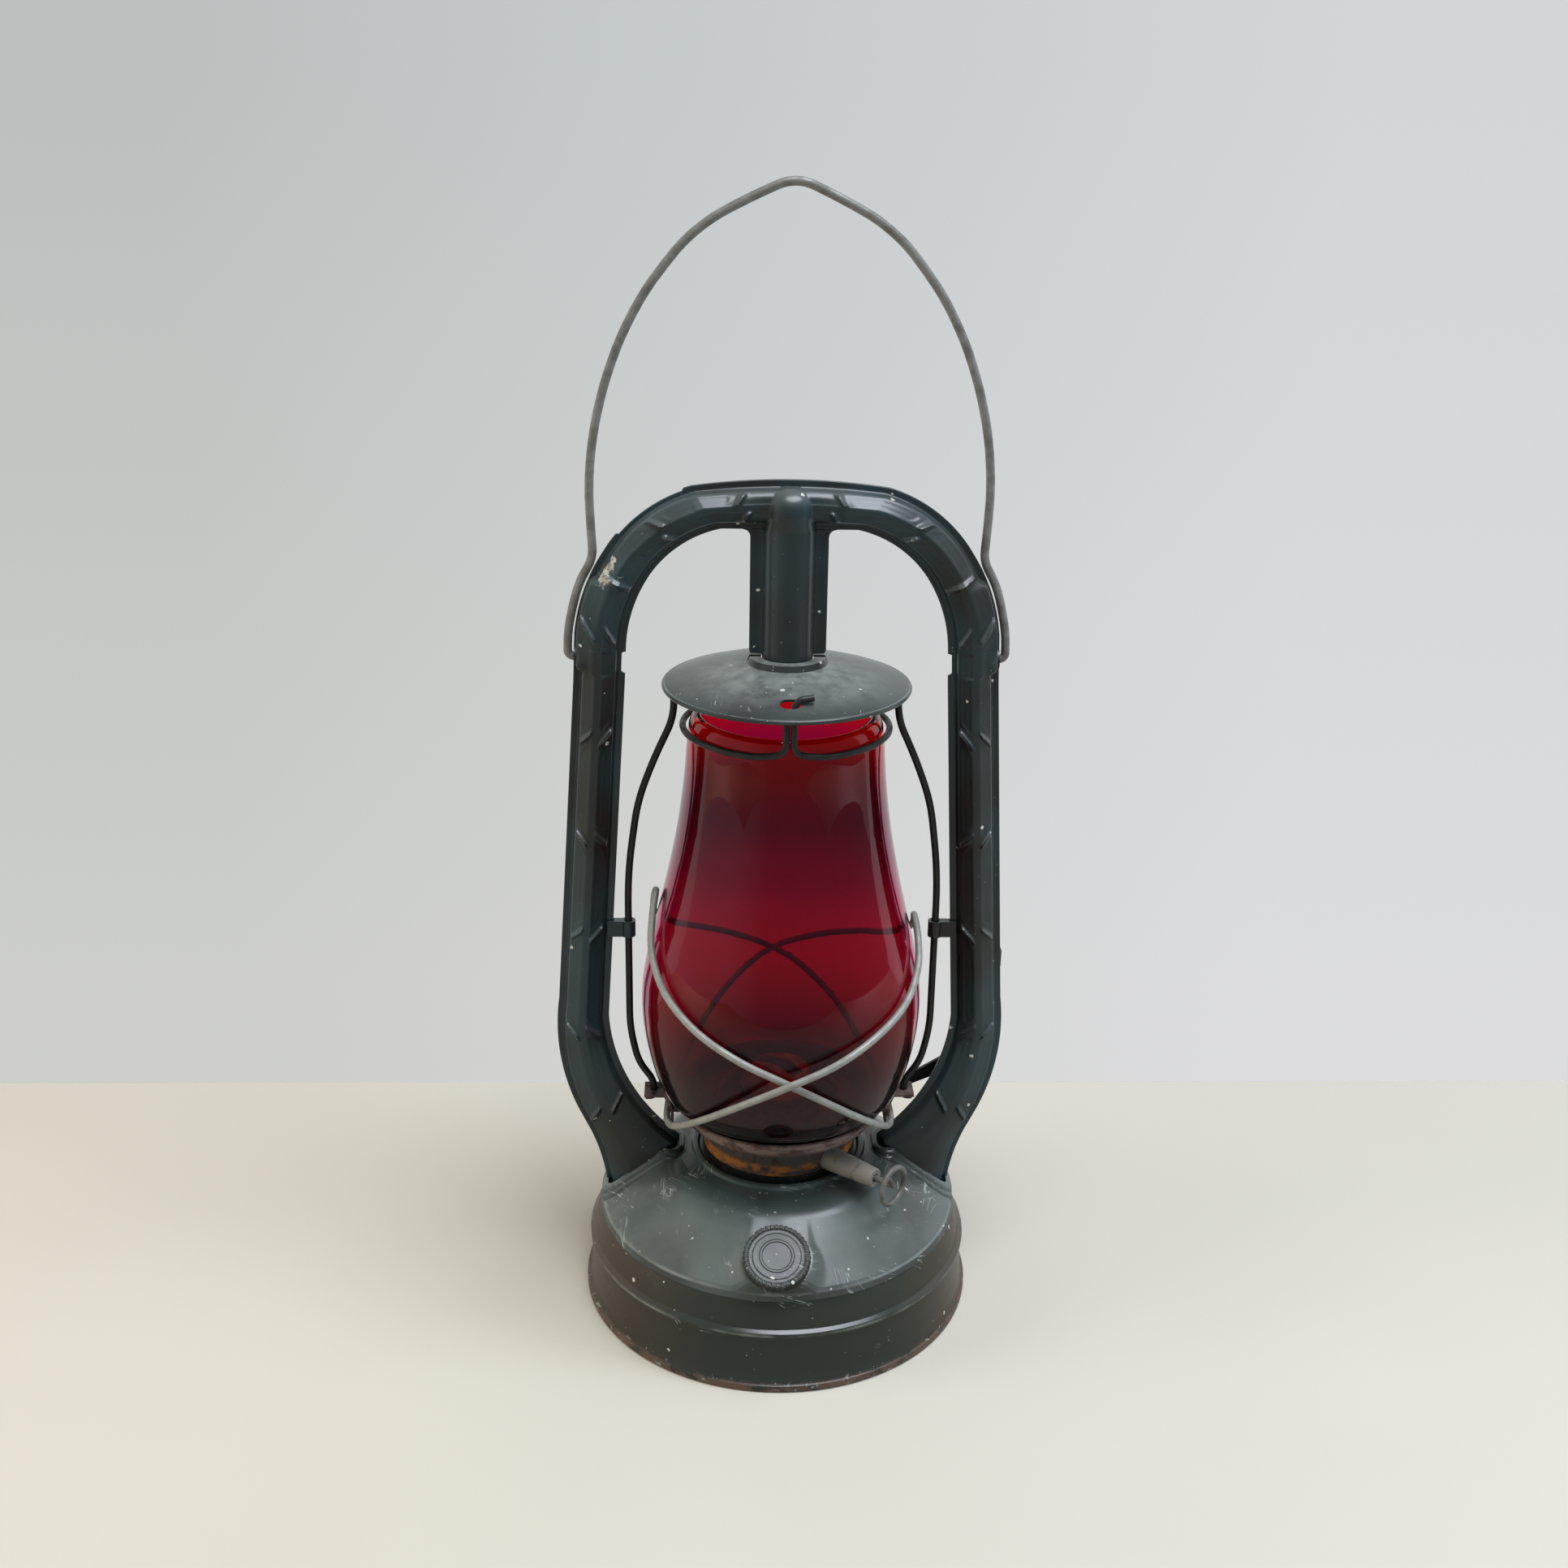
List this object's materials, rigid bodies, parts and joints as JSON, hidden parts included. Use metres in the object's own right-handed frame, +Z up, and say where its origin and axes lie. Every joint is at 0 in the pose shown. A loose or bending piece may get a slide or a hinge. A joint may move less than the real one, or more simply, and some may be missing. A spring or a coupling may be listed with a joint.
{
  "type": "hurricane lantern",
  "caption": "Tubular oil lantern: round tank with screw cap, stamped tube frame with swinging bail, red glass globe in a wire guard on a lever-raised plate, flat wick burner.",
  "frame": {"origin": "on the floor under the middle of the tank, in the plane of the frame's seam", "axes": "+Z up, +X towards the lift lever, -Y towards the filler cap"},
  "size_m": [0.1798, 0.16, 0.4422],
  "materials": {
    "frame_paint": "glossy dark green-grey enamel with small chips",
    "tank_paint": "dull dusty grey-green enamel",
    "skirt_paint": "glossy dark olive-brown enamel, rusty at the foot",
    "bare_tin": "plain tinplate",
    "rusty_plate": "dark enamel worn to pinkish-brown rust",
    "burner_tin": "dark burner tin with orange rust at its foot",
    "cap_tin": "worn grey tin",
    "brass": "dull brass",
    "cork": "cork",
    "cotton": "flat woven cotton",
    "red_glass": "clear ruby glass",
    "guard_zinc": "galvanised wire",
    "dark_wire": "near-black enamelled wire",
    "bail_wire": "grey-brown weathered wire",
    "knob_wire": "dull grey wire"
  },
  "bodies": {
    "frame": {"tank_body": "skirt_paint", "tank_bottom": "bare_tin", "tank_top": "tank_paint", "filler_neck": "bare_tin", "burner_collar": "rusty_plate", "burner_body": "burner_tin", "air_plate": "burner_tin", "flame_cone": "brass", "wick_tube": "brass", "spindle_sleeve": "burner_tin", "frame_front": "frame_paint", "frame_back": "frame_paint", "tube_socket_left": "tank_paint", "tube_socket_right": "tank_paint", "bail_eyelet_left": "frame_paint", "bail_eyelet_right": "frame_paint", "wire_guide_left": "frame_paint", "wire_guide_right": "frame_paint", "lever_spacer": "bare_tin", "lever_rivet": "bare_tin"},
    "carriage": {"globe_plate": "rusty_plate", "globe": "red_glass", "canopy": "tank_paint", "globe_ring": "dark_wire", "guard_wire_left": "guard_zinc", "guard_wire_right": "guard_zinc", "lift_wire_left": "dark_wire", "lift_wire_right": "dark_wire"},
    "lever": {"lift_lever": "dark_wire"},
    "bail": {"bail": "bail_wire"},
    "wick": {"wick": "cotton"},
    "spindle": {"wick_spindle": "knob_wire", "wick_wheels": "brass"},
    "gasket": {"filler_gasket": "cork"},
    "cap": {"filler_cap": "cap_tin"}
  },
  "joints": [
    {"name": "globe_lift", "type": "slide", "parent": "frame", "child": "carriage", "axis": [0, 0, 1], "range_m": [0, 0.022]},
    {"name": "lever_turn", "type": "hinge", "parent": "frame", "child": "lever", "pos_m": [0.078, 0.0103, 0.099], "axis": [0, 1, 0], "range_deg": [0, 44.6]},
    {"name": "bail_swing", "type": "hinge", "parent": "frame", "child": "bail", "pos_m": [0, 0, 0.272], "axis": [1, 0, 0], "range_deg": [-155, 155]},
    {"name": "spindle_turn", "type": "hinge", "parent": "frame", "child": "spindle", "pos_m": [-0.00316, -0.00374, 0.0693], "axis": [0.7638, -0.6455, 0], "range_deg": [-57.29, 114.59]},
    {"name": "wick_raise", "type": "slide", "parent": "frame", "child": "wick", "axis": [0, 0, 1], "range_m": [-0.004, 0.008]},
    {"name": "cap_turn", "type": "hinge", "parent": "gasket", "child": "cap", "pos_m": [-0.0024, -0.0638, 0.04807], "axis": [0, -0.5, 0.866], "range_deg": [0, 720]},
    {"name": "cap_lift", "type": "slide", "parent": "frame", "child": "gasket", "axis": [0, -0.5, 0.866], "range_m": [0, 0.004]}
  ],
  "couplings": [
    {"joint": "lever_turn", "follows": "globe_lift", "rad_per_m": 35.4},
    {"joint": "wick_raise", "follows": "spindle_turn", "m_per_rad": 0.004},
    {"joint": "cap_lift", "follows": "cap_turn", "m_per_rad": 0.00031831}
  ]
}
